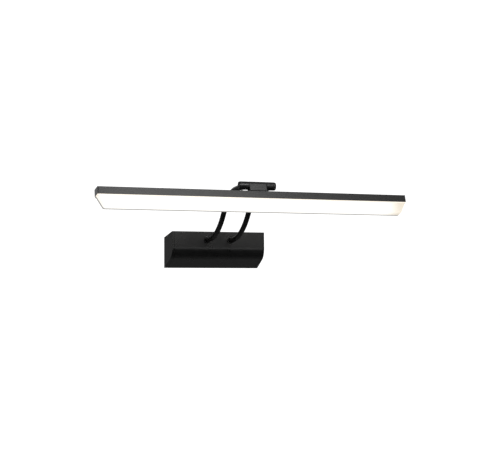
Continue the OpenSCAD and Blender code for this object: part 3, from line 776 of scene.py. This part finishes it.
front_half = HEAD_HALF - HEAD_MITRE
cap_loop = oblong(HEAD_HALF_DEPTH, HEAD_TOP - HOUSING_HEIGHT, HEAD_TOP)
tongue_loop = oblong(TONGUE_HALF, HEAD_TOP - TONGUE_DROPS[0], HEAD_TOP - TONGUE_DROPS[1])
for name in ("head_cap_left", "head_cap_right"):
    cap = prism(name + "_plate", [cap_loop] * 2, [housing_high.x, HEAD_HALF])
    for point in cap.data.vertices:
        if point.co.x > housing_high.x + TINY:
            point.co.x = HEAD_HALF if point.co.y > 0 else front_half
    soften(cap, HEAD_CAP_EDGE, segments=3)
    tongue_span = [housing_high.x - TONGUE_LENGTH, housing_high.x + TONGUE_ROOT]
    tongue = prism("tongue", [tongue_loop] * 2, tongue_span)
    combine(cap, [tongue], "UNION")
    if name == "head_cap_left":
        mirror(cap)
    soften(cap, 0)
    cap.data.transform(in_head)
    cap_paint.dress(cap)
    hand_in(cap, "lamp_head", "cap_grey", name)

# ---- Diffuser ----
# Opal acrylic trough with sloped ends and a rim flush with the housing; its tongue snaps into the
# channel. It glows white along its middle and warmer at its ends and rim. A strip near its back edge
# has painted shade: its glow is dimmed to stand in for the shade along the bottom back edge.
RIM_TOP = HEAD_TOP - HOUSING_HEIGHT
RIM_HEIGHT = 0.0015
BODY_HEIGHT = 0.0152
RIM_STEP = 0.0005
END_SLOPE = 0.0085
OPAL_WALL = 0.0014
WIDEST_ROUND = 0.002
BOTTOM_ROUND = 0.0011
UPRIGHT_ROUND = 0.0008
RIM_ROUND = 0.0003
RIM_CORNER_ROUND = 0.0005
SNAP_OVERLAP = 0.0008
SNAP_HEIGHT = 0.0021
SLIT_HALF = 0.00405


def trough(name, inset, top, bottom):
    """Block with the head's mitred plan whose ends slope in, between two heights, moved in by inset."""
    mesh = bmesh.new()
    rings = []
    for z in (bottom, top):
        slope = END_SLOPE * (RIM_TOP - z) / BODY_HEIGHT
        half = HEAD_HALF_DEPTH - inset
        front, back = front_half - inset - slope, HEAD_HALF - inset - slope
        corners = [(-front, -half), (front, -half), (back, half), (-back, half)]
        rings.append([mesh.verts.new((x, y, z)) for x, y in corners])
    for n in range(4):
        m = (n + 1) % 4
        mesh.faces.new((rings[0][n], rings[0][m], rings[1][m], rings[1][n]))
    mesh.faces.new(rings[0][::-1])
    mesh.faces.new(rings[1])
    bmesh.ops.recalc_face_normals(mesh, faces=mesh.faces)
    return new_piece(name, mesh)


def round_edges(piece, chosen):
    """Rounds each edge that the test picks, by the radius that the test gives for its two ends."""
    mesh = bmesh.new()
    mesh.from_mesh(piece.data)
    layer = mesh.edges.layers.float.new("bevel_weight_edge")
    for line in mesh.edges:
        line[layer] = chosen(line.verts[0].co, line.verts[1].co) / WIDEST_ROUND
    mesh.to_mesh(piece.data)
    mesh.free()
    edges = piece.modifiers.new("round", "BEVEL")
    edges.width = WIDEST_ROUND
    edges.segments = 8
    edges.limit_method = "WEIGHT"
    settle(piece)


def body_edges(a, b):
    """Radius for an edge of the trough: widest across the bottom of each end, none at the rim."""
    middle = RIM_TOP - BODY_HEIGHT / 2
    if min(a.z, b.z) > middle:
        return 0
    if max(a.z, b.z) < middle:
        return BOTTOM_ROUND if abs(a.x - b.x) > HEAD_HALF else WIDEST_ROUND
    return UPRIGHT_ROUND


def rim_edges(a, b):
    """Radius for an edge of the rim: small round its top and bottom, larger at its corners."""
    return RIM_ROUND if abs(a.z - b.z) < TINY else RIM_CORNER_ROUND


body = trough("diffuser_trough", RIM_STEP, RIM_TOP - 0.0002, RIM_TOP - BODY_HEIGHT)
round_edges(body, body_edges)
rim = trough("rim", 0, RIM_TOP, RIM_TOP - RIM_HEIGHT)
round_edges(rim, rim_edges)
snap_loop = oblong(TONGUE_HALF, RIM_TOP - SNAP_OVERLAP, RIM_TOP + SNAP_HEIGHT)
snap_half = housing_high.x - 0.0004
snap = prism("tongue", [snap_loop] * 2, [-snap_half, snap_half])
combine(body, [rim, snap], "UNION")
hollow_inset = RIM_STEP + OPAL_WALL
hollow = trough("hollow", hollow_inset, RIM_TOP - 0.0012, RIM_TOP - BODY_HEIGHT + hollow_inset)
slit_loop = oblong(SLIT_HALF, RIM_TOP - 0.0016, RIM_TOP + 0.004)
slit = prism("slit", [slit_loop] * 2, [-snap_half - 0.001, snap_half + 0.001])
combine(body, [hollow, slit], "DIFFERENCE")
soften(body, 0)

opal = Finish("lit_opal_acrylic", {"Roughness": 0.28, "Emission Strength": 1.0})
MIDDLE_GLOW = (0.90, 0.88, 0.84, 1)
LEFT_GLOW = (0.75, 0.72, 0.665, 1)
RIGHT_GLOW = (0.53, 0.46, 0.345, 1)
RIM_GLOW = (0.72, 0.64, 0.53, 1)

spot = x_of(opal, opal.place)
right_end = ramp(opal, spot, 0.163, 0.192)
left_end = ramp(opal, spot * -1.0, 0.180, 0.198)
cloud = noise(opal, 90, 3)
glow = between(opal, right_end, between(opal, left_end, MIDDLE_GLOW, LEFT_GLOW), RIGHT_GLOW)
height = reach_along(opal, opal.place, head_up)
rim_level = RIM_TOP - RIM_HEIGHT + hinge.dot(head_up)
in_rim = ramp(opal, height, rim_level - 0.0002, rim_level + 0.0002)
# Painted shade: the glow on the lit face is dimmed over the last 3 to 5 mm before its back edge, but not on
# the back wall itself.
depth = reach_along(opal, opal.place, head_back)
back_edge = hinge.dot(head_back) + HEAD_HALF_DEPTH - RIM_STEP
backwards = reach_along(opal, opal.node("ShaderNodeTexCoord", output="Normal"), head_back)
painted_shade_strip = ramp(opal, depth, back_edge - 0.0050, back_edge - 0.0032) * (1 - ramp(opal, backwards, 0.3, 0.7))
level = (0.98 + cloud * 0.04) * (1 - painted_shade_strip * 0.9)
opal.drive({
    "Base Color": between(opal, cloud, (0.22, 0.215, 0.205, 1), (0.28, 0.275, 0.265, 1)),
    "Emission Color": opal.node("ShaderNodeVectorMath", {"operation": "SCALE"},
                                {0: between(opal, in_rim, glow, RIM_GLOW), "Scale": level}),
    "Normal": relief(opal, cloud, 0.00001, 0.4),
})
body.data.transform(in_head)
opal.dress(body)
hand_in(body, "lamp_head", "opal_diffuser", "diffuser")

# ---- Light board and its lead ----
# Aluminium backed board with a white solder mask and a row of phosphor coated chips, slid between the
# rails. A thin lead comes down from the hollow pivot.
CHIP_PITCH = 0.368 / 36


def from_step(finish, along):
    """Distance to the nearest whole number of pitches, where the middle of a gap between chips is."""
    return finish.node("ShaderNodeMath", {"operation": "PINGPONG"}, {0: along, 1: CHIP_PITCH / 2})


solder_mask = Finish("white_solder_mask")
from_gap = from_step(solder_mask, x_of(solder_mask, solder_mask.place))
track_edge = ramp(solder_mask, from_gap, 0.0021, 0.0023)
mask_grain = noise(solder_mask, 1600, 2)
solder_mask.drive({
    "Base Color": between(solder_mask, track_edge, (0.80, 0.80, 0.77, 1), (0.86, 0.86, 0.84, 1)),
    "Roughness": 0.32 + mask_grain * 0.08,
    "Normal": relief(solder_mask, track_edge + mask_grain * 0.2, 0.00004),
})
reuse(["light_board"], solder_mask)

phosphor = Finish("phosphor_on_white_chips", {"Emission Strength": 1.0})
from_chip = from_step(phosphor, x_of(phosphor, phosphor.place) + CHIP_PITCH / 2)
rim_of_chip = ramp(phosphor, from_chip, 0.0012, 0.00135)
phosphor.drive({
    "Base Color": between(phosphor, rim_of_chip, (0.85, 0.62, 0.12, 1), (0.85, 0.85, 0.82, 1)),
    "Roughness": 0.35 + rim_of_chip * 0.1,
    "Emission Color": between(phosphor, rim_of_chip, (1.0, 0.85, 0.6, 1), (0.1, 0.1, 0.1, 1)),
})
reuse(["light_chips"], phosphor)
reuse(["lamp_lead"], wire_cover)

# ---- Camera, floor and studio light ----
# A long lens to the left of the lamp and a little below it, over a pale floor, under large soft lights.
# The sheets below and in front are seen only as reflections.
CAMERA_PLACE = (-0.35383, -1.31380, -0.07782)
CAMERA_TO_RIGHT, CAMERA_UPWARDS, CAMERA_ROLL = 17.46, 4.97, -0.51
LENS = 67.38
FLOOR_LEVEL = -0.55
FLOOR_RADIUS = 60

camera_data = bpy.data.cameras.new("camera")
camera_data.sensor_width = 36
camera_data.lens = LENS
camera_data.clip_start = 0.01
camera_data.clip_end = 100
camera = bpy.data.objects.new("camera", camera_data)
bpy.context.scene.collection.objects.link(camera)
bpy.context.scene.camera = camera
aim, rise, roll = (math.radians(angle) for angle in (CAMERA_TO_RIGHT, CAMERA_UPWARDS, CAMERA_ROLL))
forward = Vector((math.sin(aim) * math.cos(rise), math.cos(aim) * math.cos(rise), math.sin(rise)))
level_right = Vector((math.cos(aim), -math.sin(aim), 0))
level_up = level_right.cross(forward)
right = level_right * math.cos(roll) + level_up * math.sin(roll)
up = level_up * math.cos(roll) - level_right * math.sin(roll)
turn = Matrix((right, up, -forward)).transposed().to_4x4()
camera.matrix_world = Matrix.Translation(CAMERA_PLACE) @ turn

bpy.context.scene.view_settings.view_transform = "Standard"

floor_mesh = bmesh.new()
down = Matrix.Translation((0, 0, FLOOR_LEVEL))
bmesh.ops.create_circle(floor_mesh, cap_ends=True, segments=96, radius=FLOOR_RADIUS, matrix=down)
floor = new_piece("floor", floor_mesh)
floor_finish = Finish("pale_floor", {"Specular IOR Level": 0.2})
mottle = noise(floor_finish, 3, 3)
floor_finish.drive({
    "Base Color": between(floor_finish, mottle, grey(0.90), grey(0.93)),
    "Roughness": 0.7 + mottle * 0.1,
})
floor_finish.dress(floor)
floor.visible_glossy = False

world = bpy.data.worlds.new("studio")
bpy.context.scene.world = world
world.use_nodes = True
sky = world.node_tree
background = sky.nodes["Background"]
studio = Nodes(sky)
glossy = studio.node("ShaderNodeLightPath", output="Is Glossy Ray")
ray = studio.node("ShaderNodeTexCoord", output="Generated")
upwards = studio.node("ShaderNodeSeparateXYZ", {}, {0: ray}, output=2)
to_the_back = studio.node("ShaderNodeSeparateXYZ", {}, {0: ray}, output=1)
front_sky = 0.09 - ramp(studio, upwards, 0.08, 0.28) * 0.06
low_behind = ramp(studio, to_the_back, 0.20, 0.60) * ramp(studio, upwards, 0.15, 0.40)
reflected = front_sky + low_behind * (1 - ramp(studio, upwards, 0.65, 0.85)) * 0.9
strength = studio.node("ShaderNodeMix", {}, {0: glossy, 2: 1.2, 3: reflected})
studio.join(strength, background.inputs["Strength"])
studio.join((1, 1, 1, 1), background.inputs["Color"])


def aimed(at, towards):
    """A place for a light or a sheet whose -Z side faces a point."""
    at, towards = Vector(at), Vector(towards)
    return Matrix.Translation(at) @ (towards - at).to_track_quat("-Z", "Y").to_matrix().to_4x4()


def softbox(name, at, towards, wide, high, radiance):
    """A large soft light of a given brightness, hidden from the camera."""
    data = bpy.data.lights.new(name, "AREA")
    data.shape = "RECTANGLE"
    data.size, data.size_y = wide, high
    data.energy = radiance * math.pi * wide * high
    light = bpy.data.objects.new(name, data)
    bpy.context.scene.collection.objects.link(light)
    light.matrix_world = aimed(at, towards)
    light.visible_camera = False


softbox("key", (0.22, -1.95, 1.0), (0, -0.22, 0.05), 0.8, 0.8, 7.0)
softbox("front_top", (0.1, -1.15, 1.8), (0, -0.22, 0.05), 1.6, 0.4, 2.0)
softbox("top", (0, 1.3, 1.4), (0, -0.1, 0), 2.0, 0.7, 0.3)
softbox("left", (-2.0, 1.2, 0.6), (0, -0.1, 0), 1.0, 1.4, 1.6)
softbox("right", (2.1, 0.2, 0.5), (0, -0.1, 0), 1.0, 1.4, 1.4)


def sheet(name, at, towards, wide, high, level):
    """A flat sheet that only glossy surfaces see: grey to black card, or a light panel."""
    mesh = bmesh.new()
    half = [(-wide / 2, -high / 2), (wide / 2, -high / 2), (wide / 2, high / 2), (-wide / 2, high / 2)]
    mesh.faces.new([mesh.verts.new((x, y, 0)) for x, y in half])
    panel = new_piece(name, mesh)
    panel.matrix_world = aimed(at, towards)
    card = Finish(name, {"Base Color": grey(0.0), "Specular IOR Level": 0.0, "Emission Strength": 1.0})
    fade = noise(card, 2, 2)
    card.drive({"Emission Color": between(card, fade, grey(level * 0.9), grey(level * 1.1))})
    card.dress(panel)
    panel.visible_camera = False
    panel.visible_diffuse = False
    panel.visible_shadow = False
    panel.visible_transmission = False


sheet("dark_card", (0.25, -0.77, -0.30), (0.25, -0.77, 0.4), 2.6, 1.5, 0.01)
sheet("low_panel", (0.75, -2.2, -0.30), (0, -0.04, 0), 2.6, 0.2, 2.2)
